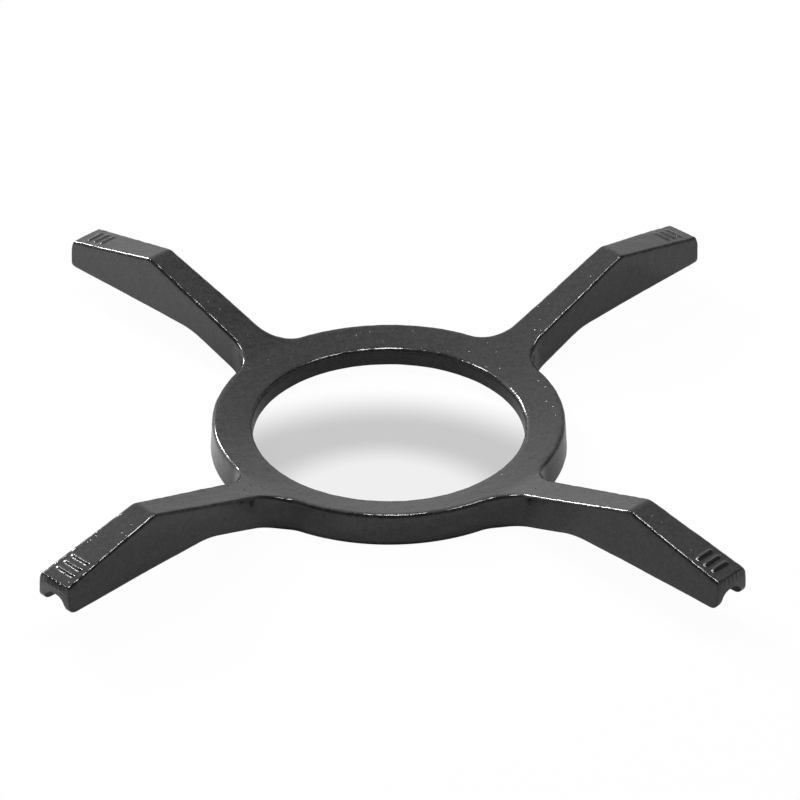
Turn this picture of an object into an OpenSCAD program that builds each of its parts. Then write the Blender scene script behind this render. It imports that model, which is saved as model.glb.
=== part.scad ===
// Cast iron stove ring: a dished ring that lies round a gas burner and carries a pan on
// four cranked arms. Each arm climbs from the ring to a crest, falls to a notched tip, and
// has drafted side walls, as a casting drawn upwards from its mould has.
// Millimetres, +Z up, origin under the middle of the ring, arms along X and Y.

/* [Ring] */
// Outside diameter of the ring at its foot
ring_d = 112; // [108:0.5:122]
// Diameter of the opening round the burner
bore_d = 86; // [76:0.5:90]
// Height of the dished top face at the opening
lip_h = 7.5; // [6:0.1:8.5]
// Height of the ring's outer rim
rim_h = 10.4; // [9.5:0.1:12]
// Rounding between the top face and the opening
lip_round = 1; // [0.5:0.1:1.5]
// Width of the flat foot that the ring stands on
foot_w = 8; // [5:0.25:9]
// Height of the lead-in cone under the opening
lead_in_h = 2.5; // [1:0.1:3]

/* [Arms] */
// Number of arms round the ring
arm_count = 4; // [3:1:6]
// Radius of the crests that a pan stands on
crest_r = 104.6; // [96:0.2:112]
// Height of the crests above the foot
crest_h = 26; // [22:0.1:30]
// Width of an arm's top at its crest
crest_w = 9.1; // [7:0.1:11]
// Radius of the upper edge of the tips
tip_r = 140.4; // [132:0.1:150]
// Height of the upper edge of the tips
tip_h = 18.2; // [15.5:0.1:20]
// Width of an arm's top at its tip
tip_w = 11.7; // [9.5:0.1:13]
// Height at which the rising underside of an arm levels out
arm_lift = 8.5; // [6:0.1:9]
// Upright thickness of the arms where they leave the ring
root_t = 11; // [9.5:0.1:12]
// Radius of the bend between the rising and the level underside
belly_r = 30; // [10:1:50]
// Radius of the fillets between the arms and the ring
root_fillet = 12; // [6:0.25:14]
// Draft angle of the arms' and the ring's side walls
draft = 4; // [1:0.25:6]

/* [Tips] */
// Height of the toes under the tips
toe_h = 9.3; // [7.5:0.1:10]
// How far the bevelled end runs out from the upper edge
bevel_run = 0.6; // [0.4:0.1:3]
// How far the bevelled end falls from the upper edge
bevel_drop = 2.5; // [1.5:0.1:4]
// Width of the arched notch between the toes
notch_w = 9; // [7:0.1:9.6]
// Height of the arched notch above the toes
notch_h = 5; // [4.2:0.1:5.5]
// Radius of the notch's upper corners
notch_round = 3.6; // [2:0.1:4]
// Length of the notch along the arm
notch_l = 14; // [8:0.5:24]
// Rounding under the end of the toes
toe_round = 2.7; // [1:0.1:3.5]

/* [Hidden] */
$fn = 96;
cast_black = [0.16, 0.16, 0.165];
ring_r = ring_d / 2;
bore_r = bore_d / 2;
lead_in_w = ring_r - bore_r - foot_w;
lean = tan(draft);
// The rim is where the dish meets the drafted outer wall
rim_r = ring_r - lean * rim_h;
// Rise of the ring's dish, and of the arms that carry it on, for each millimetre outwards
dish = (rim_h - lip_h) / (rim_r - bore_r);
climb = (crest_h - rim_h) / (crest_r - rim_r);
dish_angle = atan(dish);
climb_angle = atan(climb);
fall = (crest_h - tip_h) / (tip_r - crest_r);
end_r = tip_r + bevel_run;
// Radius at which the sloping underside starts to rise from the foot's level
root_r = rim_r + (root_t - rim_h) / climb;
// Radius and slope at which the underside levels out
bend_r = root_r + arm_lift / climb;
level_angle = atan((toe_h - arm_lift) / (end_r - bend_r));
// Half width of the plain blank of an arm at the foot's level
blank_w = crest_w / 2 + crest_h * lean;
// Plan angle by which each side of the outer arm flares beyond its draft
flare = atan((tip_w / 2 - crest_w / 2 - (crest_h - tip_h) * lean) / (tip_r - crest_r));
over = 1;
blank_h = crest_h + over;
bite = 0.05;

// Height of the dished top face at radius r
function dish_z(r) = lip_h + dish * (r - bore_r);

// Height of the outer arm's underside at radius r
function under_z(r) = arm_lift + tan(level_angle) * (r - bend_r);

// Points of an arc about [x, y], from angle a0 to a1 in n steps
function arc(x, y, r, a0, a1, n) =
    [for (i = [0 : n]) [x + r * cos(a0 + (a1 - a0) * i / n), y + r * sin(a0 + (a1 - a0) * i / n)]];

// Rounded lip between the dish and the wall of the opening
function lip_points() =
    let (x = bore_r + lip_round)
    let (y = dish_z(x) - lip_round / cos(dish_angle))
    arc(x, y, lip_round, 90 + dish_angle, 180, 6);

// Bend between the underside that rises with the arm and the nearly level one further out
function belly_points() =
    let (half_turn = (climb_angle - level_angle) / 2)
    let (reach = belly_r * tan(half_turn))
    let (x = bend_r + reach * cos(level_angle) + belly_r * sin(level_angle))
    let (y = arm_lift + reach * sin(level_angle) - belly_r * cos(level_angle))
    arc(x, y, belly_r, 90 + climb_angle, 90 + level_angle, 8);

// Section from the wall of the opening out past the end of a tip: lead-in, foot, belly,
// toes, then back along the tip, the crest, the rim, the dish and the rounded lip
module section() {
    past_r = end_r + over;
    polygon(concat(
        [[bore_r, lead_in_h], [bore_r + lead_in_w, 0], [root_r, 0]],
        belly_points(),
        [
            [past_r, under_z(past_r)],
            [past_r, crest_h - fall * (past_r - crest_r)],
            [crest_r, crest_h],
            [rim_r, rim_h]
        ],
        lip_points()
    ));
}

// Drafted blank of the ring, to be cut to the section
module ring_blank() {
    translate([0, 0, -over])
        cylinder(
            h = blank_h + over,
            r1 = ring_r + lean * over,
            r2 = ring_r - lean * blank_h
        );
}

// One leaning side wall: everything on the arm's side of it, along +X from the origin
module side_of_arm(length) {
    rotate([90, 0, 90])
        linear_extrude(length)
            polygon([
                [-2 * blank_w, -over],
                [blank_w + lean * over, -over],
                [blank_w - lean * blank_h, blank_h],
                [-2 * blank_w, blank_h]
            ]);
}

// Blank between two leaning walls that part by the given plan angle on each side
module blank(from_r, to_r, angle) {
    intersection_for (s = [0, 1])
        mirror([0, s, 0])
            translate([from_r, 0, 0])
                rotate([0, 0, angle])
                    side_of_arm((to_r - from_r) * 1.2);
}

// Web in the corner between arm and ring, hollowed by a drafted fillet
module root_web() {
    y = blank_w + root_fillet;
    x = sqrt(pow(ring_r + root_fillet, 2) - y * y);
    ring_point = [x, y] * (ring_r - over) / (ring_r + root_fillet);
    difference() {
        translate([0, 0, -over])
            linear_extrude(blank_h + over)
                polygon([[bore_r + lead_in_w, 0], [x, 0], [x, y], ring_point]);
        translate([x, y, -2 * over])
            cylinder(
                h = blank_h + 3 * over,
                r1 = root_fillet + bite - 2 * over * lean,
                r2 = root_fillet + bite + (blank_h + over) * lean
            );
    }
}

// Arched notch that straddles a pin or bar, open below and at the end
module notch() {
    shoulder = notch_w / 2 - notch_round;
    spring = notch_h - notch_round;
    translate([end_r - notch_l, 0, toe_h])
        rotate([90, 0, 90])
            linear_extrude(notch_l + over)
                polygon(concat(
                    [[-notch_w / 2, -2 * over], [notch_w / 2, -2 * over]],
                    arc(shoulder, spring, notch_round, 0, 90, 8),
                    arc(-shoulder, spring, notch_round, 90, 180, 8)
                ));
}

// Side outline of what is cut away at a tip: past its bevel, end face and rounded toes
module beyond_end_section() {
    past_r = end_r + 2 * over;
    toe_z = under_z(end_r - toe_round);
    polygon(concat(
        [
            [tip_r - bevel_run, tip_h + bevel_drop],
            [past_r, tip_h + bevel_drop],
            [past_r, toe_z - over],
            [end_r - toe_round, toe_z - over]
        ],
        arc(end_r - toe_round, toe_z + toe_round, toe_round, -90, 0, 8),
        [[end_r, tip_h - bevel_drop]]
    ));
}

module beyond_end() {
    rotate([90, 0, 0])
        translate([0, 0, -tip_w])
            linear_extrude(2 * tip_w)
                beyond_end_section();
}

// Drafted blank of one arm with its fillets, to be cut to the section
module arm_blank() {
    blank(bore_r + lead_in_w, crest_r, 0);
    blank(crest_r, end_r, flare);
    for (s = [0, 1])
        mirror([0, s, 0])
            root_web();
}

module stove_ring() {
    turns = [for (i = [0 : arm_count - 1]) i * 360 / arm_count];
    color(cast_black)
        difference() {
            intersection() {
                rotate_extrude()
                    section();
                union() {
                    ring_blank();
                    for (turn = turns)
                        rotate([0, 0, turn])
                            arm_blank();
                }
            }
            for (turn = turns)
                rotate([0, 0, turn]) {
                    beyond_end();
                    notch();
                }
        }
}

stove_ring();
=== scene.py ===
"""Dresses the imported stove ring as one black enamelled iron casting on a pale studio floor."""

from __future__ import annotations

import logging
import math
from collections.abc import Callable
from dataclasses import dataclass, replace
from enum import Enum

import bmesh
import bpy
import numpy as np
from mathutils import Matrix, Vector


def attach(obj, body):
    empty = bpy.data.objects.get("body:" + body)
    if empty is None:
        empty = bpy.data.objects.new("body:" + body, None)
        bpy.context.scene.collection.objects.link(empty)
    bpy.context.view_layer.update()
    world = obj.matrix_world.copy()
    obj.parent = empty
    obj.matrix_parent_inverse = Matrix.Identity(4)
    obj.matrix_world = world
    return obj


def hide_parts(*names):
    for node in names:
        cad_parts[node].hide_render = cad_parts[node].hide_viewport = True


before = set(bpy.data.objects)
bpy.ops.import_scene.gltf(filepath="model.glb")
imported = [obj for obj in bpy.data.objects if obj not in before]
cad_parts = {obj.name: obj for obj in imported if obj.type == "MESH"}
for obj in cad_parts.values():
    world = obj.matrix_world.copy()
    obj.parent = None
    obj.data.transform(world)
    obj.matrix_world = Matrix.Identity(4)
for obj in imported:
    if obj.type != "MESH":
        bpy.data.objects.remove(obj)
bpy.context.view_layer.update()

log = logging.getLogger("stove_ring")

MM = 0.001
NODE = "stove_ring"
BODY = "root"
SEAM_GRID = 0.0005  # mm, within which points on a seam are one
SLIVER = 1e-7  # m
CREASE_DEG = 48.0

Array = np.ndarray
Height = Callable[[Array], Array]
Pair = tuple[float, float]
Socket = bpy.types.NodeSocket


class Arm(Enum):
    """The four arms, each with its turn about +Z in degrees, named as the camera sees them."""

    FAR_RIGHT = 0
    FAR_LEFT = 90
    NEAR_LEFT = 180
    NEAR_RIGHT = 270


@dataclass(frozen=True)
class CastingSizes:
    """Sizes of the casting in millimetres, the same as those that the solids are made from."""

    ring_d: float = 112.0
    bore_d: float = 86.0
    lip_h: float = 7.5
    rim_h: float = 10.4
    foot_w: float = 8.0
    lead_in_h: float = 2.5
    crest_r: float = 104.6
    crest_h: float = 26.0
    crest_w: float = 9.1
    tip_r: float = 140.4
    tip_h: float = 18.2
    tip_w: float = 11.7
    arm_lift: float = 8.5
    root_t: float = 11.0
    belly_r: float = 30.0
    root_fillet: float = 12.0
    draft_deg: float = 4.0
    toe_h: float = 9.3
    bevel_run: float = 0.6
    bevel_drop: float = 2.5
    notch_w: float = 9.0
    notch_h: float = 5.0
    notch_round: float = 3.6
    notch_l: float = 14.0
    toe_round: float = 2.7

    @property
    def lean(self) -> float:
        """Inward lean of a drafted wall for each millimetre of height."""
        return math.tan(math.radians(self.draft_deg))

    @property
    def ring_r(self) -> float:
        """Outside radius of the ring at its foot."""
        return self.ring_d / 2

    @property
    def bore_r(self) -> float:
        """Radius of the opening."""
        return self.bore_d / 2

    @property
    def rim_r(self) -> float:
        """Radius at which the dish meets the leaning outer wall."""
        return self.ring_r - self.lean * self.rim_h

    @property
    def foot_r(self) -> float:
        """Inner radius of the flat foot."""
        return self.ring_r - self.foot_w

    @property
    def dish(self) -> float:
        """Rise of the ring's top face for each millimetre outwards."""
        return (self.rim_h - self.lip_h) / (self.rim_r - self.bore_r)

    @property
    def climb(self) -> float:
        """Rise of an arm's top between the rim and its crest."""
        return (self.crest_h - self.rim_h) / (self.crest_r - self.rim_r)

    @property
    def fall(self) -> float:
        """Fall of an arm's top between its crest and its tip."""
        return (self.crest_h - self.tip_h) / (self.tip_r - self.crest_r)

    @property
    def end_r(self) -> float:
        """Distance of the end faces from the middle."""
        return self.tip_r + self.bevel_run

    @property
    def root_r(self) -> float:
        """Radius at which the underside leaves the foot's level."""
        return self.rim_r + (self.root_t - self.rim_h) / self.climb

    @property
    def bend_r(self) -> float:
        """Radius at which the rising underside turns nearly level."""
        return self.root_r + self.arm_lift / self.climb

    @property
    def level(self) -> float:
        """Rise of the nearly level underside for each millimetre outwards."""
        return (self.toe_h - self.arm_lift) / (self.end_r - self.bend_r)

    @property
    def half_w(self) -> float:
        """Half width of an inner arm at the foot's level."""
        return self.crest_w / 2 + self.crest_h * self.lean

    @property
    def flare(self) -> float:
        """Widening of each side of an outer arm for each millimetre outwards."""
        rise = self.tip_w / 2 - self.crest_w / 2 - (self.crest_h - self.tip_h) * self.lean
        return rise / (self.tip_r - self.crest_r)

    @property
    def fillet_centre(self) -> Pair:
        """Centre in plan of the fillet that runs from the ring into an arm's side."""
        y = self.half_w + self.root_fillet
        return math.sqrt((self.ring_r + self.root_fillet) ** 2 - y**2), y

    def coated(self, t: float) -> CastingSizes:
        """Sizes over a coat of enamel on the tops, the outer walls and the ends.

        The foot, the opening and the undersides stay where they are.

        Args:
            t: Thickness of the coat.

        Returns:
            The sizes over the coat.
        """
        heights = ("lip_h", "rim_h", "crest_h", "tip_h", "root_t")
        grow = dict.fromkeys(heights + ("foot_w", "tip_r", "notch_l"), t)
        grow |= dict.fromkeys(("ring_d", "crest_w", "tip_w"), 2 * t) | {"root_fillet": -t}
        return replace(self, **{name: getattr(self, name) + by for name, by in grow.items()})


@dataclass(frozen=True)
class EdgeSizes:
    """Enamel coat, roundings and softened kinks of the casting, in millimetres or shares.

    The blends are half lengths of softened kinks. The two shares are the part of a wall's
    height that its roundings may take, and the part of the lumps beside an edge.
    """

    coat: float = 0.36
    rim: float = 1.3
    arm: float = 1.1
    arm_fade: float = 14.0
    far_toe: float = 1.2
    toe_fade: float = 2.0
    under: float = 0.6
    lip: float = 1.6
    lead_in: float = 0.5
    end: float = 0.4
    notch: float = 0.5
    crest_blend: float = 1.1
    bevel_blend: float = 0.32
    root_blend: float = 1.2
    room_share: float = 0.35
    lump_share: float = 0.4
    lump_reach: float = 2.5
    lump_fade: float = 1.0


@dataclass(frozen=True)
class ReliefSizes:
    """Low grip ribs on the tips and the milled comb on the tips' bevels, in millimetres.

    The fades are the lengths over which the relief rises out of the plain face. The comb is
    faint on all tips but one, and lifts by a share of what it pushes out.
    """

    skin: float = 0.4
    rib_x: tuple[float, ...] = (130.2, 133.2, 136.2)
    rib_w: float = 0.62
    rib_h: float = 0.42
    rib_reach: float = 3.9
    rib_fade: float = 1.4
    rib_past_crest: float = 5.0
    comb_pitch: float = 1.76
    comb_h: float = 0.5
    comb_reach: float = 4.4
    comb_lead: float = 0.35
    comb_lead_fade: float = 0.4
    comb_fade: float = 0.5
    comb_end_fade: float = 0.12
    comb_end_share: float = 0.15
    comb_faint: float = 0.3
    comb_lift: float = 0.6


@dataclass(frozen=True)
class GridPlan:
    """Steps along each stretch of the outline and round each half section.

    The values after the counts say where stretches begin, in millimetres, and how uneven
    their steps are.
    """

    rim: int = 26
    fillet: int = 18
    rise: int = 36
    crest: int = 8
    outer: int = 20
    tip: int = 44
    bevel: int = 14
    top: int = 18
    edge: int = 6
    wall: int = 8
    under_edge: int = 4
    bottom: int = 20
    toe: int = 4
    bore: tuple[int, ...] = (1, 4, 4, 1)
    bore_corner: int = 4
    crest_half: float = 2.5
    notch_gap: float = 0.03
    bevel_lead: float = 0.5
    bevel_bunch: float = 0.35
    bore_power: float = 0.9
    spine_in: float = 2.0
    foot_in: float = 1.2
    lip_in: float = 2.0


def soft_ramp(t: Array, w: float) -> Array:
    """Zero before the kink at t = 0 and t after it, joined by a parabola from -w to w."""
    return np.where(t < -w, 0.0, np.where(t > w, t, (t + w) ** 2 / (4 * w)))


def smooth_step(t: Array) -> Array:
    """Rise from 0 to 1 with level ends, 3t^2 - 2t^3 of t held between 0 and 1."""
    t = np.clip(t, 0.0, 1.0)
    return t * t * (3 - 2 * t)


def quarter_drop(x: Array, end: float, radius: float) -> Array:
    """How far a quarter circle that stands upright at x = end has dropped from its tangent."""
    past = np.clip(x - (end - radius), 0, radius)
    return radius - np.sqrt(radius**2 - past**2)


def unit(v: Array) -> Array:
    """Each row of v divided by its length."""
    return v / np.linalg.norm(v, axis=-1, keepdims=True)


def spokes(angles: Array) -> Array:
    """Unit directions in plan at the given angles, shape (n, 2)."""
    return np.stack([np.cos(angles), np.sin(angles)], -1)


def arc_between(edge: Array, d1: Array, d2: Array, radius: Array, steps: int) -> Array:
    """Rounds corners in a plane.

    The centre lies on the line that halves the angle between the two edges, radius /
    sin(half the angle) from the corner. The arc turns evenly from its foot on the first
    edge to its foot on the second.

    Args:
        edge: Corners, shape (n, 2).
        d1: Unit directions of the first edges, away from the corners.
        d2: The same of the second edges.
        radius: Radius at each corner.
        steps: Steps on each arc.

    Returns:
        Points of shape (n, steps + 1, 2), from the first edge to the second.
    """
    half = np.arccos(np.clip((d1 * d2).sum(-1), -1, 1)) / 2
    centre = edge + unit(d1 + d2) * (radius / np.sin(half))[:, None]
    reach = (radius / np.tan(half))[:, None]
    a = unit(edge + d1 * reach - centre)
    b = unit(edge + d2 * reach - centre)
    turn = np.arccos(np.clip((a * b).sum(-1), -1, 1))[:, None, None]
    t = np.linspace(0, 1, steps + 1)[None, :, None]
    spin = (np.sin((1 - t) * turn) * a[:, None] + np.sin(t * turn) * b[:, None]) / np.sin(turn)
    return centre[:, None] + spin * radius[:, None, None]


def stepped(start: Array, stop: Array, steps: int) -> Array:
    """Even steps from the points of start to those of stop, along a new axis before the last."""
    t = np.linspace(0, 1, steps + 1)[:, None]
    return start[..., None, :] * (1 - t) + stop[..., None, :] * t


def sheet_between(start: Array, stop: Array, steps: int, height: Height) -> Array:
    """Lays a face of the given height over the even steps between two lines in plan."""
    xy = stepped(start, stop, steps)
    return np.concatenate([xy, height(xy)[..., None]], -1)


@dataclass(frozen=True)
class Unevenness:
    """Gentle shift of the skin in x, y and z, each by plane waves drawn from a seed of its own.

    The shortest and the longest wave and the spread of the shift are in millimetres.
    """

    seeds: tuple[int, int, int]
    shortest: float
    longest: float
    spread: float
    count: int = 14

    def field(self, seed: int, p: Array) -> Array:
        """Sum of cos(k . p + phase) over the waves, scaled to a spread of about one.

        Args:
            seed: Seed of the draw.
            p: Points in millimetres, shape (n, 3).

        Returns:
            One value for each point.
        """
        rng = np.random.default_rng(seed)
        ends = math.log(self.shortest), math.log(self.longest)
        lengths = np.exp(rng.uniform(*ends, self.count))
        k = unit(rng.normal(size=(self.count, 3))) * (2 * math.pi / lengths)[:, None]
        phase = rng.uniform(0, 2 * math.pi, self.count)
        return np.cos(p @ k.T + phase).sum(-1) * math.sqrt(2 / self.count)

    def shift(self, p: Array) -> Array:
        """The shift at each point of p, shape (n, 3)."""
        return self.spread * np.stack([self.field(seed, p) for seed in self.seeds], -1)


ROUGH = Unevenness((11, 12, 13), 2.6, 9.0, 0.012)
BROAD = Unevenness((21, 22, 23), 18.0, 60.0, 0.04)
LUMPS = Unevenness((31, 32, 33), 2.0, 4.5, 0.024)
FLAT_FOOT_H = 0.8  # mm over which the unevenness fades in above the foot


@dataclass
class IronCasting:
    """The ring with its arms: one closed surface, of an eighth that is mirrored and turned."""

    sizes: CastingSizes
    edges: EdgeSizes
    relief: ReliefSizes
    grid: GridPlan

    def top_z(self, p: Array) -> Array:
        """Height of the top: the dish, the climb to the crest, the fall and the tip's bevel.

        Each kink is a change of slope times a soft ramp past it. The bevel's is measured along
        the arm and the others from the middle.

        Args:
            p: Places, x along the arm and y off its middle line.

        Returns:
            The height at each place.
        """
        s, x, r = self.sizes, p[..., 0], np.hypot(p[..., 0], p[..., 1])
        z = s.lip_h + s.dish * (r - s.bore_r)
        z = z + (s.climb - s.dish) * soft_ramp(r - s.rim_r, self.edges.root_blend)
        z = z - (s.climb + s.fall) * soft_ramp(r - s.crest_r, self.edges.crest_blend)
        steep = s.bevel_drop / s.bevel_run
        return z - (steep - s.fall) * soft_ramp(x - s.tip_r, self.edges.bevel_blend)

    def under_z(self, p: Array) -> Array:
        """Height of the underside: the foot, the rise along the arm, the level run and the toe.

        Like top_z, but the toe's rounding is a quarter circle that ends upright.

        Args:
            p: Places, x along the arm and y off its middle line.

        Returns:
            The height at each place.
        """
        s, x, r = self.sizes, p[..., 0], np.hypot(p[..., 0], p[..., 1])
        z = s.climb * soft_ramp(r - s.root_r, self.edges.root_blend)
        reach = s.belly_r * math.tan((math.atan(s.climb) - math.atan(s.level)) / 2)
        z = z - (s.climb - s.level) * soft_ramp(r - s.bend_r, reach)
        return z + quarter_drop(x, s.end_r, s.toe_round)

    def arm_stations(self) -> Array:
        """Distances along the arm at which it is cut, closer at the crest, ribs, notch and bevel.

        Over the bevel the steps are a mean of even steps and the sine's, which shorten outwards.

        Returns:
            The distances, from the fillet out to the end face.
        """
        s, g = self.sizes, self.grid
        notch_x = s.end_r - s.notch_l
        bevel_x = s.tip_r - g.bevel_lead
        stretches = [
            (s.fillet_centre[0], s.crest_r - g.crest_half, g.rise),
            (s.crest_r - g.crest_half, s.crest_r + g.crest_half, g.crest),
            (s.crest_r + g.crest_half, notch_x - g.notch_gap, g.outer),
            (notch_x + g.notch_gap, bevel_x, g.tip),
        ]
        parts = [np.linspace(a, b, n + 1)[:-1] for a, b, n in stretches]
        parts.insert(3, np.array([notch_x - g.notch_gap]))
        turn = np.linspace(0, math.pi / 2, g.bevel + 1)
        share = g.bevel_bunch * np.sin(turn) + (1 - g.bevel_bunch) * turn / turn[-1]
        parts.append(bevel_x + (s.end_r - bevel_x) * share)
        return np.concatenate(parts)

    def outline(self) -> tuple[Array, Array, Array, int]:
        """Plan outline of the foot of the outer wall over an eighth of the casting.

        The rim is an arc about the middle from 45 degrees to the fillet, the fillet an arc about
        the corner's centre, and the arm's side a straight line that flares past the crest.

        Returns:
            Points, outward normals, the angle or distance of each on the inner line, and the
            number of stations that end on the opening rather than on the arm's middle line.
        """
        s, g = self.sizes, self.grid
        fx, fy = s.fillet_centre
        start = math.atan2(fy, fx)
        rim_n = spokes(np.linspace(math.pi / 4, start, g.rim + 1)[:-1])
        fillet_n = -spokes(np.linspace(start + math.pi, 1.5 * math.pi, g.fillet + 1)[:-1])
        x = self.arm_stations()
        side = np.stack([x, s.half_w + s.flare * np.maximum(x - s.crest_r, 0)], -1)
        points = np.concatenate([rim_n * s.ring_r, [fx, fy] - fillet_n * s.root_fillet, side])
        normals = np.concatenate([rim_n, fillet_n, np.tile([0.0, 1.0], (len(x), 1))])
        on_bore = g.rim + g.fillet // 2 + 1
        bore_a = math.pi / 4 * (1 - np.linspace(0, 1, on_bore) ** g.bore_power)
        first_x = s.foot_r + g.spine_in
        spine = np.concatenate([np.linspace(first_x, fx, g.fillet - g.fillet // 2)[:-1], x])
        return points, normals, np.concatenate([bore_a, spine]), on_bore

    def edge_at(self, points: Array, normals: Array, height: Height) -> tuple[Array, Array]:
        """Finds where the leaning wall meets a face of the casting.

        A wall's point at height z is the outline's drawn in by lean * z, so the meeting height
        is the fixed point of z = height(point at z), reached by repeating it.

        Args:
            points: Points of the outline.
            normals: Outward normals there.
            height: The face's height over a place in plan.

        Returns:
            The height of each meeting point, and the face's inward slope there.
        """
        first_guess, rounds, step = 8.0, 8, 0.4
        z = np.full(len(points), first_guess)
        for _ in range(rounds):
            p = points - normals * (self.sizes.lean * z)[:, None]
            z = height(p)
        q = p - normals * step
        return z, (height(q) - z) / step

    def corner_arcs(self, z: Array, slope: Array, radius: Array, up: float, steps: int) -> Array:
        """Rounds the long edge between the wall and a face, in the upright plane across it.

        Args:
            z: Height of the sharp edge at each station.
            slope: Inward slope of the face there.
            radius: Radius of the rounding there.
            up: 1 where the wall rises from the edge, -1 where it drops from it.
            steps: Steps on each arc.

        Returns:
            Inward distance and height from wall to face, shape (n, steps + 1, 2).
        """
        lean, n = self.sizes.lean, len(z)
        edge = np.stack([lean * z, z], -1)
        wall = unit(np.tile([lean * up, up], (n, 1)))
        face = unit(np.stack([np.ones(n), slope], -1))
        return arc_between(edge, wall, face, radius, steps)

    def outer_skin(self, points: Array, normals: Array, r: Array) -> Array:
        """Rounded upper edge, leaning wall and rounded lower edge at each station.

        Args:
            points: Points of the outline.
            normals: Outward normals there.
            r: Distance of each from the middle.

        Returns:
            Points of shape (stations, edge + wall + under_edge + 1, 3), from the top down.
        """
        e, g = self.edges, self.grid
        top_edge, top_slope = self.edge_at(points, normals, self.top_z)
        low_edge, low_slope = self.edge_at(points, normals, self.under_z)
        room = (top_edge - low_edge) * e.room_share
        blend = smooth_step((r - self.sizes.ring_r) / e.arm_fade)
        upper_r = np.minimum(e.rim + (e.arm - e.rim) * blend, room)
        lower_r = np.minimum(e.under, room)
        upper = self.corner_arcs(top_edge, top_slope, upper_r, -1.0, g.edge)[:, ::-1]
        lower = self.corner_arcs(low_edge, low_slope, lower_r, 1.0, g.under_edge)
        wall = stepped(upper[:, -1], lower[:, 0], g.wall)
        outer = np.concatenate([upper[:, :-1], wall, lower[:, 1:]], 1)
        plan = points[:, None] - normals[:, None] * outer[..., :1]
        return np.concatenate([plan, outer[..., 1:]], -1)

    def bore_path(self) -> Array:
        """Path from the foot over the lead-in and up the opening's wall to the dish.

        Its corners are rounded by arcs, with even steps on the straights between them.

        Returns:
            Radius and height of its points, shape (n, 2).
        """
        s, e, g = self.sizes, self.edges, self.grid
        corners = [
            (s.foot_r + g.foot_in, 0.0),
            (s.foot_r, 0.0),
            (s.bore_r, s.lead_in_h),
            (s.bore_r, s.lip_h),
            (s.bore_r + g.lip_in, s.lip_h + g.lip_in * s.dish),
        ]
        p = np.array(corners)
        back, on = unit(p[:-2] - p[1:-1]), unit(p[2:] - p[1:-1])
        radii = np.array([e.lead_in, e.lead_in, e.lip])
        arcs = arc_between(p[1:-1], back, on, radii, g.bore_corner)
        ends = [p[:1], *arcs, p[-1:]]
        path = [p[:1]]
        for one, two, n in zip(ends, ends[1:], g.bore):
            path += [stepped(one[-1], two[0], n)[1:], two[1:]]
        return np.concatenate(path)

    def notch_chain(self, x: Array, y0: Array, z0: Array) -> Array:
        """Underside of the arm from the lower edge in to the middle line, at each station.

        Without the notch it is level. With it, the chain runs along the toe, round its inner
        edge, up the notch's wall and over the arch, evenly by length along each stretch.

        Args:
            x: Station of each row.
            y0: Distance from the middle at which the lower rounding ends.
            z0: Height there.

        Returns:
            Distance from the middle and height, shape (n, bottom + 1, 2).
        """
        s, r, n, toe = self.sizes, self.edges.notch, self.grid.bottom, self.grid.toe
        spring_z = s.toe_h + s.notch_h - s.notch_round
        flat = s.notch_w / 2 - s.notch_round
        lift = np.maximum(z0 + r - spring_z, 0)
        wall_y = flat + np.sqrt(s.notch_round**2 - np.minimum(lift, s.notch_round) ** 2)
        toe_y = stepped(y0[:, None], (wall_y + r)[:, None], toe)[:, :-1, 0]
        toe_z = np.repeat(z0[:, None], toe, 1)
        a = np.linspace(0, math.pi / 2, toe + 1)[:-1]
        turn_y = (wall_y + r)[:, None] - r * np.sin(a)
        turn_z = (z0 + r)[:, None] - r * np.cos(a)
        from_a = np.arcsin(np.clip(lift / s.notch_round, 0, 1))
        upright = np.maximum(spring_z - z0 - r, 0)
        curve = s.notch_round * (math.pi / 2 - from_a)
        run = (upright + curve + flat)[:, None] * np.linspace(0, 1, n - 2 * toe + 1)
        along = np.clip((run - upright[:, None]) / s.notch_round, 0, None) + from_a[:, None]
        held = np.minimum(along, math.pi / 2)
        over = np.maximum(run - (upright + curve)[:, None], 0)
        arch_y = flat + s.notch_round * np.cos(held) - over
        arch_z = (z0 + r)[:, None] + np.minimum(run, upright[:, None])
        arch_z = arch_z + s.notch_round * (np.sin(held) - np.sin(from_a)[:, None])
        plain_y = y0[:, None] * np.linspace(1, 0, n + 1)
        has = (x > s.end_r - s.notch_l)[:, None]
        y = np.where(has, np.concatenate([toe_y, turn_y, arch_y], 1), plain_y)
        z = np.where(has, np.concatenate([toe_z, turn_z, arch_z], 1), z0[:, None])
        return np.stack([y, z], -1)

    def half_sections(self) -> tuple[Array, Array]:
        """Grids of an eighth of the casting.

        Each station of the outline has a half section: the top from the inner line out, the
        outer skin, and the underside back in. On the ring the opening's wall closes it. Near
        the end face the side walls draw in by a quarter circle in plan.

        Returns:
            The sections, shape (stations, points, 3), and the opening's wall, shape
            (stations on the opening, points, 3).
        """
        s, e, g = self.sizes, self.edges, self.grid
        points, normals, inner, on_bore = self.outline()
        r = np.hypot(points[:, 0], points[:, 1])
        tuck = quarter_drop(points[:, 0], s.end_r, e.end)
        points = points - normals * tuck[:, None]
        outer = self.outer_skin(points, normals, r)

        path = self.bore_path()
        bore_n = spokes(inner[:on_bore])
        bore_z = np.repeat(path[None, :, 1:], on_bore, 0)
        bore = np.concatenate([bore_n[:, None] * path[None, :, :1], bore_z], -1)
        spine = np.stack([inner, np.zeros(len(inner))], -1)
        top_in, low_in = spine.copy(), spine.copy()
        top_in[:on_bore] = bore_n * path[-1, 0]
        low_in[:on_bore] = bore_n * path[0, 0]

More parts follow.
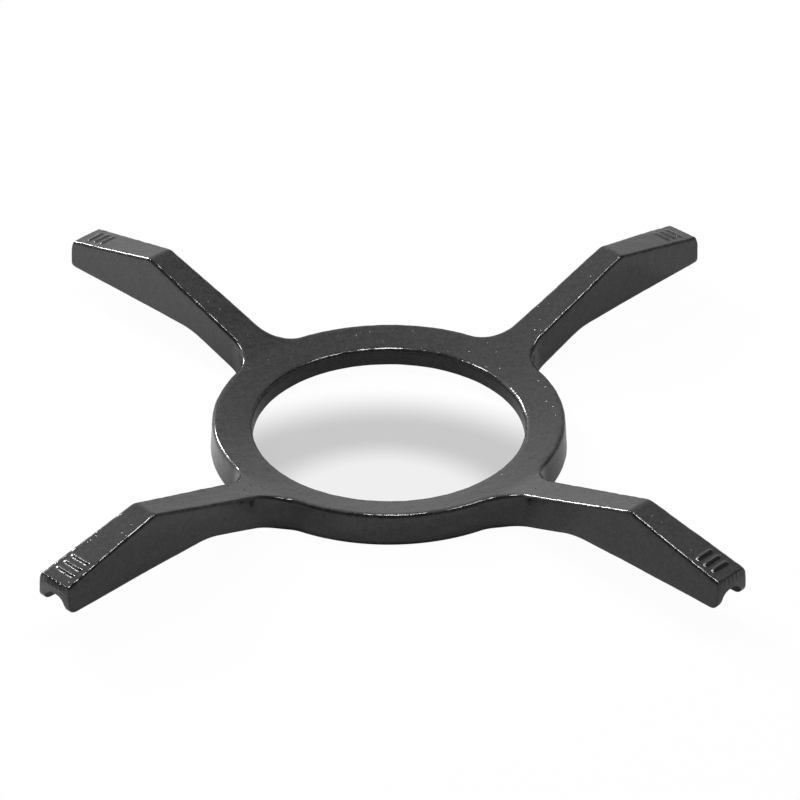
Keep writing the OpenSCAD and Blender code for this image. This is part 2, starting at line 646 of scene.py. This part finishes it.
        top = sheet_between(top_in, outer[:, 0, :2], g.top, self.top_z)[:, :-1]
        low = sheet_between(outer[:, -1, :2], low_in, g.bottom, self.under_z)[:, 1:]
        tips = np.nonzero(points[:, 0] > s.crest_r)[0]
        chain = self.notch_chain(points[tips, 0], outer[tips, -1, 1], outer[tips, -1, 2])
        low[tips, :, 1:] = chain[:, 1:]
        return np.concatenate([top, outer, low], 1), bore

    def ribs(self, p: Array) -> Array:
        """Height of the grip ribs: a bell across each rib, held to its length by a soft step.

        Args:
            p: Places, x along the arm and y off its middle line.

        Returns:
            The height at each place.
        """
        rel, x, y = self.relief, p[:, 0], p[:, 1]
        ends = smooth_step((rel.rib_reach - np.abs(y)) / rel.rib_fade)
        bells = sum(np.exp(-(((x - c) / rel.rib_w) ** 2)) for c in rel.rib_x)
        return rel.rib_h * ends * bells

    def comb(self, p: Array) -> Array:
        """How far the comb pushes the bevel out: a row of teeth, half a cosine squared each.

        Args:
            p: Points, x along the arm and y off its middle line, shape (n, 3).

        Returns:
            The push, which fades out at all four sides of the bevel.
        """
        s, rel, (x, y, z) = self.sizes, self.relief, p.T
        band = (
            smooth_step((x - s.tip_r + rel.comb_lead) / rel.comb_lead_fade)
            * smooth_step((rel.comb_reach - np.abs(y)) / rel.comb_fade)
            * smooth_step((z - (s.tip_h - s.bevel_drop)) / rel.comb_fade)
            * smooth_step((s.end_r - x) / rel.comb_end_fade + rel.comb_end_share)
        )
        teeth = (0.5 + 0.5 * np.cos(2 * math.pi * (y / rel.comb_pitch + 0.5))) ** 2
        return rel.comb_h * band * teeth

    def crisper_toe(self, p: Array) -> Array:
        """How far the points round a toe's lower end drop where its corner is less rounded.

        Args:
            p: Points, x along the arm and y off its middle line, shape (n, 3).

        Returns:
            The difference of the two quarter circles, fading out above the underside.
        """
        s, e, x = self.sizes, self.edges, p[:, 0]
        wide = quarter_drop(x, s.end_r, s.toe_round)
        tight = quarter_drop(x, s.end_r, e.far_toe)
        return (wide - tight) * np.clip(1 - (p[:, 2] - self.under_z(p)) / e.toe_fade, 0, 1)

    def dressed(self, eighth: Array, arm: Arm) -> Array:
        """Adds the relief of one arm's tip to the eighth's points.

        The comb is deep on one tip and faint on the others, and the two far toes are crisper.

        Args:
            eighth: Points of an eighth of the casting, shape (n, 3).
            arm: The arm to dress.

        Returns:
            The points with the relief.
        """
        rel = self.relief
        x, y, z = eighth.T
        top = z > self.top_z(eighth) - rel.skin
        on_rib_face = top & (x > self.sizes.crest_r + rel.rib_past_crest)
        lift = np.where(on_rib_face, self.ribs(eighth), 0.0)
        depth = 1.0 if arm is Arm.NEAR_LEFT else rel.comb_faint
        push = depth * self.comb(eighth) * top
        drop = self.crisper_toe(eighth) if arm in (Arm.FAR_LEFT, Arm.FAR_RIGHT) else 0.0
        return np.stack([x + push, y, z + lift + rel.comb_lift * push - drop], -1)

    def lump_shares(self, rows: int, bore: Array) -> Array:
        """Share of the edge lumps that each point of the eighth takes: whole on a top edge.

        Args:
            rows: Number of half sections.
            bore: Points of the opening's wall.

        Returns:
            One share for each point, sections first.
        """
        g, e = self.grid, self.edges
        first, last = g.top - 1, g.top + g.edge + 1
        across = np.zeros(g.top + g.edge + g.wall + g.under_edge + g.bottom + 1)
        across[first : last + 1] = 1.0
        across[[first - 1, last + 1]] = e.lump_share
        down = smooth_step((bore[0, :, 2] - self.sizes.lip_h + e.lump_reach) / e.lump_fade)
        return np.concatenate([np.tile(across, rows), np.tile(down, len(bore))])

    @staticmethod
    def cast_unevenness(p: Array, shares: Array) -> Array:
        """Moves points by a few hundredths of a millimetre, with their shares of the lumps.

        The shift fades out towards the foot, which stays flat.
        """
        fade = smooth_step(p[:, 2:] / FLAT_FOOT_H)
        return p + fade * (ROUGH.shift(p) + BROAD.shift(p) + shares[:, None] * LUMPS.shift(p))

    @staticmethod
    def grid_faces(rows: int, cols: int) -> Array:
        """Faces of a grid whose points are numbered row by row.

        Args:
            rows: Rows of points.
            cols: Points in a row.

        Returns:
            The four corner numbers of each quad.
        """
        i, j = np.meshgrid(np.arange(rows - 1), np.arange(cols - 1), indexing="ij")
        a = (i * cols + j).ravel()
        return np.stack([a, a + 1, a + cols + 1, a + cols], -1)

    def mesh(self) -> bpy.types.Mesh:
        """Joins eight copies of the eighth into one closed mesh.

        Points that coincide on the seams are made one by rounding their places to a grid of
        half a micrometre, and each tip's last section is closed by a face.

        Returns:
            The mesh, in metres.
        """
        sections, bore = self.half_sections()
        rows, cols, _ = sections.shape
        first = self.grid_faces(rows, cols)
        second = self.grid_faces(*bore.shape[:2]) + rows * cols
        eighth = np.concatenate([sections.reshape(-1, 3), bore.reshape(-1, 3)])
        quads = np.concatenate([first[:, ::-1], second[:, ::-1]])
        last = (rows - 1) * cols + np.arange(cols)
        points, faces, caps = [], [], []
        for arm in Arm:
            cos, sin = math.cos(math.radians(arm.value)), math.sin(math.radians(arm.value))
            turn = np.array([[cos, -sin, 0], [sin, cos, 0], [0, 0, 1]])
            dressed = self.dressed(eighth, arm)
            for side in (1, -1):
                base = len(points) * len(eighth)
                points.append((dressed * [1, side, 1]) @ turn.T)
                faces.append((quads if side > 0 else quads[:, ::-1]) + base)
                caps.append(last + base)
        cloud = np.concatenate(points)
        places = np.round(cloud / SEAM_GRID).astype(np.int64)
        _, keep, index = np.unique(places, axis=0, return_index=True, return_inverse=True)
        index = index.ravel()
        shares = np.tile(self.lump_shares(rows, bore), 2 * len(Arm))
        cloud = self.cast_unevenness(cloud[keep], shares[keep])
        polygons = index[np.concatenate(faces)].tolist()
        for one, two in zip(caps[::2], caps[1::2]):
            polygons.append(np.concatenate([index[one], index[two][::-1][1:-1]]).tolist())
        mesh = bpy.data.meshes.new("enamelled_casting")
        mesh.from_pydata((cloud * MM).tolist(), [], polygons)
        tidy_mesh(mesh)
        return mesh

    def build(self) -> bpy.types.Object:
        """Makes the casting's object and links it to the scene."""
        return placed("stove_ring_casting", self.mesh())


def tidy_mesh(mesh: bpy.types.Mesh) -> None:
    """Turns all faces outwards, shades them smooth and keeps real corners crisp.

    Args:
        mesh: A closed mesh.
    """
    bm = bmesh.new()
    bm.from_mesh(mesh)
    bmesh.ops.dissolve_degenerate(bm, dist=SLIVER, edges=bm.edges)
    bmesh.ops.recalc_face_normals(bm, faces=bm.faces)
    if bm.calc_volume(signed=True) < 0:
        bmesh.ops.reverse_faces(bm, faces=bm.faces)
    open_edges = sum(1 for e in bm.edges if len(e.link_faces) != 2)
    log.info("%d faces, %d open edges", len(bm.faces), open_edges)
    bm.to_mesh(mesh)
    bm.free()
    mesh.shade_smooth()
    mesh.set_sharp_from_angle(angle=math.radians(CREASE_DEG))


def placed(name: str, data: bpy.types.ID) -> bpy.types.Object:
    """Makes an object and links it to the scene.

    Args:
        name: Its name.
        data: Its mesh, camera or light.

    Returns:
        The object.
    """
    made = bpy.data.objects.new(name, data)
    bpy.context.scene.collection.objects.link(made)
    return made


class NodeSheet:
    """Short-hand for filling a node tree."""

    def __init__(self, tree: bpy.types.NodeTree) -> None:
        """Clears the tree and keeps it to be filled."""
        self.tree = tree
        tree.nodes.clear()

    def add(self, kind: str, **settings) -> bpy.types.Node:
        """Adds a node.

        Args:
            kind: The node's type, after the words ShaderNode.
            settings: Its properties. Those named in_Name or in_3 are values for its inputs, or
                sockets to link to them.

        Returns:
            The node.
        """
        node = self.tree.nodes.new("ShaderNode" + kind)
        for key, value in settings.items():
            if not key.startswith("in_"):
                setattr(node, key, value)
                continue
            name = key[3:]
            socket = node.inputs[int(name) if name.isdigit() else name.replace("_", " ")]
            if isinstance(value, Socket):
                self.link(value, socket)
            else:
                socket.default_value = value
        return node

    def link(self, out: Socket, into: Socket) -> None:
        """Joins two sockets."""
        self.tree.links.new(out, into)

    def maths(self, operation: str, a: Socket | float, b: Socket | float) -> Socket:
        """Adds a Math node for an operation on a and b, and gives its output."""
        return self.add("Math", operation=operation, in_0=a, in_1=b).outputs[0]

    def weighted(self, *terms: tuple[Socket, float]) -> Socket:
        """Adds Math nodes for the sum of sockets that are each times a weight.

        Args:
            terms: Sockets with their weights.

        Returns:
            The sum.
        """
        total, *rest = [self.maths("MULTIPLY", value, weight) for value, weight in terms]
        for part in rest:
            total = self.maths("ADD", total, part)
        return total

    def ramp(self, value: Socket, bounds: Pair, levels: Pair) -> Socket:
        """Adds a smooth Map Range.

        Args:
            value: Its input.
            bounds: Inputs at which the ramp starts and ends.
            levels: Outputs up to the start and from the end.

        Returns:
            Its output.
        """
        ends = {f"in_{i}": number for i, number in enumerate((*bounds, *levels), start=1)}
        node = self.add("MapRange", interpolation_type="SMOOTHSTEP", in_0=value, **ends)
        return node.outputs[0]

    def measure(self, operation: str, vector: Socket, fixed: Vector) -> Socket:
        """Adds a Vector Math node for a number from the two vectors, and gives its output."""
        node = self.add("VectorMath", operation=operation, in_0=vector, in_1=fixed)
        return node.outputs["Value"]

    def rays(self) -> tuple[Socket, Socket]:
        """Adds nodes that tell kinds of rays apart.

        Returns:
            Masks of what is seen, also through glass, and of what is mirrored.
        """
        rays = self.add("LightPath").outputs
        seen = self.maths("MAXIMUM", rays["Is Camera Ray"], rays["Is Transmission Ray"])
        return seen, rays["Is Glossy Ray"]


@dataclass(frozen=True)
class NoiseLayer:
    """A layer of noise: its scale for a metre, its detail, and its weight in the skin's height."""

    scale: float
    detail: float
    height: float = 0.0


@dataclass(frozen=True)
class CastSkin:
    """Cast and enamelled skin: a fine stipple, orange peel, slow waves, pits and raised grains.

    Bounds are distances in a cell or levels of noise, and heights are shares of the finish's
    depth.
    """

    stipple: NoiseLayer = NoiseLayer(1700.0, 1.0, 0.16)
    peel: NoiseLayer = NoiseLayer(640.0, 1.5, 0.5)
    slow: NoiseLayer = NoiseLayer(95.0, 2.0, 0.5)
    patchy: NoiseLayer = NoiseLayer(38.0, 1.0)
    cell_scale: float = 520.0
    pit_h: float = -0.5
    pit_bounds: Pair = (0.04, 0.17)
    patch_bounds: Pair = (0.42, 0.6)
    patch_least: float = 0.15
    raised_h: float = 1.1
    raised_bounds: Pair = (0.02, 0.2)
    raised_draw: float = 0.8
    grain_mix: Pair = (0.6, 0.4)
    grain_bounds: Pair = (0.42, 0.58)

    def group(self) -> bpy.types.NodeTree:
        """Makes the node group.

        Cells whose first draw is under the pit share hold a pit, which is shallower between
        the patches, and those whose second draw is high hold a raised grain.

        Returns:
            The group, with a pit share in, and a height, a mask of the pits, a mottle from
            the slow waves and a fine grain out.
        """
        group = bpy.data.node_groups.new("cast_enamel_skin", "ShaderNodeTree")
        ways = dict.fromkeys(("Height", "Pits", "Mottle", "Grain"), "OUTPUT")
        for name, way in ({"Pit Share": "INPUT"} | ways).items():
            group.interface.new_socket(name=name, in_out=way, socket_type="NodeSocketFloat")
        n = NodeSheet(group)
        source, sink = group.nodes.new("NodeGroupInput"), group.nodes.new("NodeGroupOutput")
        place = n.add("TexCoord").outputs["Object"]

        levels = []
        for layer in (self.stipple, self.peel, self.slow, self.patchy):
            noise = n.add("TexNoise", in_Vector=place, in_Scale=layer.scale, in_Detail=layer.detail)
            levels.append(noise.outputs["Fac"])
        stipple, peel, slow, patchy = levels
        cells = n.add("TexVoronoi", in_Vector=place, in_Scale=self.cell_scale, in_Randomness=1.0)
        draw = n.add("SeparateColor", in_0=cells.outputs["Color"])
        from_middle = cells.outputs["Distance"]

        pitted = n.maths("LESS_THAN", draw.outputs[0], source.outputs["Pit Share"])
        bowls = n.maths("MULTIPLY", n.ramp(from_middle, self.pit_bounds, (1.0, 0.0)), pitted)
        patches = n.ramp(patchy, self.patch_bounds, (self.patch_least, 1.0))
        pits = n.maths("MULTIPLY", bowls, patches)
        domes = n.ramp(from_middle, self.raised_bounds, (1.0, 0.0))
        grains = n.maths("GREATER_THAN", draw.outputs[1], self.raised_draw)
        raised = n.maths("MULTIPLY", domes, grains)
        height = n.weighted(
            (stipple, self.stipple.height),
            (peel, self.peel.height),
            (slow, self.slow.height),
            (pits, self.pit_h),
            (raised, self.raised_h),
        )
        fine = n.weighted((stipple, self.grain_mix[0]), (peel, self.grain_mix[1]))
        n.link(height, sink.inputs["Height"])
        n.link(pits, sink.inputs["Pits"])
        n.link(slow, sink.inputs["Mottle"])
        n.link(n.ramp(fine, self.grain_bounds, (0.0, 1.0)), sink.inputs["Grain"])
        return group


@dataclass(frozen=True)
class EnamelFinish:
    """Semi-gloss black enamel on cast iron, duller in its pits and here and there."""

    name: str = "black_enamel"
    deep: tuple[float, float, float] = (0.001, 0.001, 0.0012)
    light: tuple[float, float, float] = (0.0175, 0.0175, 0.0178)
    ior: float = 1.6
    roughness: float = 0.15
    mottle: float = 0.1
    pit_dulling: float = 0.1
    pit_share: float = 0.1
    depth: float = 0.00011

    def make(self, skin: bpy.types.NodeTree) -> bpy.types.Material:
        """Builds the material.

        Args:
            skin: The cast skin's node group.

        Returns:
            The material.
        """
        material = bpy.data.materials.new(self.name)
        material.use_nodes = True
        n = NodeSheet(material.node_tree)
        cast = n.add("Group", node_tree=skin, in_Pit_Share=self.pit_share)
        grain = cast.outputs["Grain"]
        deep, light = (*self.deep, 1), (*self.light, 1)
        colour = n.add("Mix", data_type="RGBA", in_0=grain, in_6=deep, in_7=light)
        spread = n.weighted((cast.outputs["Mottle"], self.mottle))
        rough = n.maths("ADD", spread, self.roughness - self.mottle / 2)
        dull = n.weighted((cast.outputs["Pits"], self.pit_dulling))
        height = cast.outputs["Height"]
        bump = n.add("Bump", in_Strength=1.0, in_Distance=self.depth, in_Height=height)
        paint = n.add(
            "BsdfPrincipled",
            in_Metallic=0.0,
            in_IOR=self.ior,
            in_Base_Color=colour.outputs[2],
            in_Roughness=n.maths("ADD", rough, dull),
            in_Normal=bump.outputs[0],
        )
        n.add("OutputMaterial", in_0=paint.outputs[0])
        return material


@dataclass(frozen=True)
class PhotoCamera:
    """Camera at the photograph's angle, as a turn about the part, in degrees and millimetres."""

    azimuth: float = -45.946
    elevation: float = 32.882
    roll: float = 0.127
    distance: float = 1341.2
    aim: tuple[float, float, float] = (9.58, 4.38, 10.12)
    lens: float = 190.32
    sensor: float = 36.0
    clip: Pair = (0.05, 20.0)  # m

    def axes(self) -> tuple[Vector, Vector, Vector]:
        """Axes of the camera, which the azimuth turns from looking along +Y.

        Returns:
            Its right, up and back.
        """
        a, e, r = (math.radians(v) for v in (self.azimuth, self.elevation, self.roll))
        back = Vector((math.sin(a) * math.cos(e), -math.cos(a) * math.cos(e), math.sin(e)))
        right = Vector((math.cos(a), math.sin(a), 0))
        up = back.cross(right)
        cos, sin = math.cos(r), math.sin(r)
        return right * cos + up * sin, up * cos - right * sin, back

    def level_axes(self) -> tuple[Vector, Vector]:
        """Level directions to the camera's right and away from it."""
        a = math.radians(self.azimuth)
        return Vector((math.cos(a), math.sin(a), 0)), Vector((-math.sin(a), math.cos(a), 0))

    def build(self) -> None:
        """Makes the camera and makes it the scene's."""
        data = bpy.data.cameras.new("camera")
        data.lens, data.sensor_width = self.lens, self.sensor
        data.clip_start, data.clip_end = self.clip
        right, up, back = self.axes()
        camera = placed("camera", data)
        basis = Matrix((right, up, back)).transposed().to_4x4()
        place = (Vector(self.aim) + back * self.distance) * MM
        camera.matrix_world = Matrix.Translation(place) @ basis
        bpy.context.scene.camera = camera


@dataclass(frozen=True)
class StudioLamp:
    """A square soft lamp, aimed at the part, with its distance and size in metres.

    Its heading is measured in degrees from the way that the camera looks, positive to the
    right, and its elevation from the floor. Its light is the irradiance that it gives the part.
    """

    name: str
    heading: float
    elevation: float
    distance: float
    size: float
    light: float

    def build(self, right: Vector, away: Vector) -> None:
        """Makes the lamp, turned to face the middle of the part.

        A lamp of power P gives P / (pi * distance^2) straight ahead, so P follows from that.

        Args:
            right: Level direction to the camera's right.
            away: Level direction away from the camera.
        """
        h, e = math.radians(self.heading), math.radians(self.elevation)
        level = right * math.sin(h) + away * math.cos(h)
        place = (level * math.cos(e) + Vector((0, 0, math.sin(e)))) * self.distance
        data = bpy.data.lights.new(self.name, "AREA")
        data.shape = "SQUARE"
        data.size = self.size
        data.energy = self.light * math.pi * self.distance**2
        lamp = placed(self.name, data)
        lamp.location = place
        lamp.rotation_euler = (-place).to_track_quat("-Z", "Y").to_euler()


LAMPS = (
    StudioLamp("key_lamp", heading=-38.9, elevation=30.6, distance=1.6, size=0.24, light=1.9),
    StudioLamp("overhead_lamp", heading=5.0, elevation=78.0, distance=1.0, size=0.14, light=0.95),
    StudioLamp("side_lamp", heading=-66.0, elevation=55.0, distance=1.0, size=0.14, light=0.8),
    StudioLamp("right_lamp", heading=55.0, elevation=68.0, distance=1.0, size=0.12, light=0.4),
)


@dataclass(frozen=True)
class ShadeBand:
    """Painted soft shadow, a grey crescent on the floor in the opening, in metres and white levels.

    Its far edge is a wide arc and its near edge a narrower one. Their centres are given to the
    camera's right and away from it, so both lie nearer than the middle of the part.
    """

    far_centre: Pair = (-0.0015, -0.0505)
    far_bounds: Pair = (0.0608, 0.0845)
    near_centre: Pair = (-0.0015, -0.0435)
    near_bounds: Pair = (0.0309, 0.0475)
    dark: float = 0.57
    before: float = 0.86
    reach: float = 0.049


@dataclass(frozen=True)
class FloorTones:
    """Tones of the lit floor, and the shares of plain white over it, in metres and levels.

    In reflections the lit floor is darker, with painted shade that darkens it more inside the
    opening and a round painted patch of light that lightens it to the camera's left.
    """

    half: float = 3.0
    lit: float = 0.9
    mirrored_drop: float = 0.3
    inside_drop: float = 0.34
    painted_light_place: Pair = (-0.19, -0.01)
    painted_light_bounds: Pair = (0.105, 0.15)
    painted_light_lift: float = 0.3
    seen_white: float = 0.97
    mirrored_white: float = 0.14


@dataclass(frozen=True)
class WallTones:
    """Levels of white of the surroundings, as reflections see them.

    The bounds are how much of a unit direction lies along the wall's own, or upwards.
    """

    wall_way: Pair = (-0.2, 0.98)
    wall_bounds: Pair = (0.22, 0.56)
    dim: float = 0.1
    wall: float = 0.78
    left_gain: float = 0.7
    low_bounds: Pair = (0.2, 0.62)
    low: float = 0.5
    fill: float = 0.17


@dataclass(frozen=True)
class Studio:
    """Pale floor, pale surroundings and soft lamps, turned to the camera's heading."""

    camera: PhotoCamera
    band: ShadeBand
    ground: FloorTones
    walls: WallTones
    lamps: tuple[StudioLamp, ...]

    def distance_to(self, n: NodeSheet, place: Socket, point: Pair) -> Socket:
        """Adds nodes for the distance from a place to a point, given right and away."""
        right, away = self.camera.level_axes()
        return n.measure("DISTANCE", place, right * point[0] + away * point[1])

    def shade(self, n: NodeSheet, place: Socket) -> tuple[Socket, Socket]:
        """Adds nodes for the painted shadow, a crescent.

        It is the larger of its two arcs' ramps, held inside the ring.

        Args:
            n: The sheet to fill.
            place: The place on the floor.

        Returns:
            The level of white, and a mask of the floor inside the ring.
        """
        b = self.band
        far = n.ramp(self.distance_to(n, place, b.far_centre), b.far_bounds, (b.dark, 1.0))
        to_near = self.distance_to(n, place, b.near_centre)
        near = n.ramp(to_near, b.near_bounds, (b.before, b.dark))
        inside = n.maths("LESS_THAN", self.distance_to(n, place, (0.0, 0.0)), b.reach)
        # painted shadow: the crescent dims the floor's white glow inside the ring
        level = n.add("Mix", in_0=inside, in_2=1.0, in_3=n.maths("MAXIMUM", far, near))
        return level.outputs[0], inside

    def floor_material(self) -> bpy.types.Material:
        """White floor keeping a light shadow, with a painted soft crescent of shadow in the
        opening.

        The camera sees mostly plain white with a little of the lit floor in it. Reflections see
        a seventh of that white, and the rest from the lit floor in the tones for reflections.

        Returns:
            The material.
        """
        g = self.ground
        material = bpy.data.materials.new("pale_floor")
        material.use_nodes = True
        n = NodeSheet(material.node_tree)
        seen, mirrored = n.rays()
        place = n.add("TexCoord").outputs["Object"]
        level, inside = self.shade(n, place)
        glow = n.add("Emission", in_Color=(1, 1, 1, 1), in_Strength=level)
        # painted light: a round patch of floor to the camera's left is made lighter in reflections
        to_painted_light = self.distance_to(n, place, g.painted_light_place)
        painted_light = n.ramp(to_painted_light, g.painted_light_bounds, (g.painted_light_lift, 0.0))
        # painted shade: the floor inside the opening is made darker in reflections
        inner = n.maths("MULTIPLY", inside, g.inside_drop)
        drop = n.maths("SUBTRACT", n.maths("ADD", inner, g.mirrored_drop), painted_light)
        tone = n.maths("SUBTRACT", g.lit, n.maths("MULTIPLY", mirrored, drop))
        matt = n.add("BsdfDiffuse", in_Color=tone)
        seen_share = n.maths("MULTIPLY", seen, g.seen_white)
        share = n.maths("MAXIMUM", seen_share, n.maths("MULTIPLY", mirrored, g.mirrored_white))
        mix = n.add("MixShader", in_0=share, in_1=matt.outputs[0], in_2=glow.outputs[0])
        n.add("OutputMaterial", in_0=mix.outputs[0])
        return material

    def floor(self) -> None:
        """Lays the floor as a plane under the foot."""
        h = self.ground.half
        mesh = bpy.data.meshes.new("pale_floor")
        mesh.from_pydata([(-h, -h, 0), (h, -h, 0), (h, h, 0), (-h, h, 0)], [], [(0, 1, 2, 3)])
        mesh.materials.append(self.floor_material())
        floor = placed("pale_floor", mesh)

    def surroundings(self) -> None:
        """White all round for the camera, and a wall away from it for reflections.

        The wall's level follows how much of a direction lies along the wall's own, and grows
        towards the camera's left. Behind the camera and overhead it is dim, and low down it is
        at least half white. What is not seen directly gets a plain dim fill.
        """
        w = self.walls
        world = bpy.data.worlds.new("studio")
        bpy.context.scene.world = world
        world.use_nodes = True
        n = NodeSheet(world.node_tree)
        seen, mirrored = n.rays()
        direction = n.add("TexCoord").outputs["Generated"]
        right, away = self.camera.level_axes()
        way = away * w.wall_way[1] + right * w.wall_way[0]
        along = n.measure("DOT_PRODUCT", direction, way)
        gain = n.maths("ADD", n.measure("DOT_PRODUCT", direction, right * -w.left_gain), 1.0)
        wall = n.maths("MULTIPLY", n.ramp(along, w.wall_bounds, (w.dim, w.wall)), gain)
        height = n.add("SeparateXYZ", in_0=direction).outputs[2]
        low = n.ramp(height, w.low_bounds, (w.low, w.dim))
        mirrored = n.maths("MULTIPLY", mirrored, n.maths("MAXIMUM", wall, low))
        level = n.maths("MAXIMUM", n.maths("MAXIMUM", seen, mirrored), w.fill)
        white = n.add("Background", in_Color=(1, 1, 1, 1), in_Strength=level)
        n.add("OutputWorld", in_0=white.outputs[0])

    def build(self) -> None:
        """Sets up the floor, the surroundings, the lamps and the plain view transform."""
        self.floor()
        self.surroundings()
        for lamp in self.lamps:
            lamp.build(*self.camera.level_axes())
        bpy.context.scene.view_settings.view_transform = "Standard"


def main() -> None:
    """Builds and dresses the casting, and sets the studio round it."""
    logging.basicConfig(level=logging.INFO, format="%(name)s: %(message)s")
    camera = PhotoCamera()
    camera.build()
    Studio(camera, ShadeBand(), FloorTones(), WallTones(), LAMPS).build()
    edges = EdgeSizes()
    sizes = CastingSizes().coated(edges.coat)
    casting = IronCasting(sizes, edges, ReliefSizes(), GridPlan()).build()
    casting.data.materials.append(EnamelFinish().make(CastSkin().group()))
    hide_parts(NODE)
    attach(casting, BODY)
    log.info("casting: %d vertices", len(casting.data.vertices))


if __name__ == "__main__":
    main()
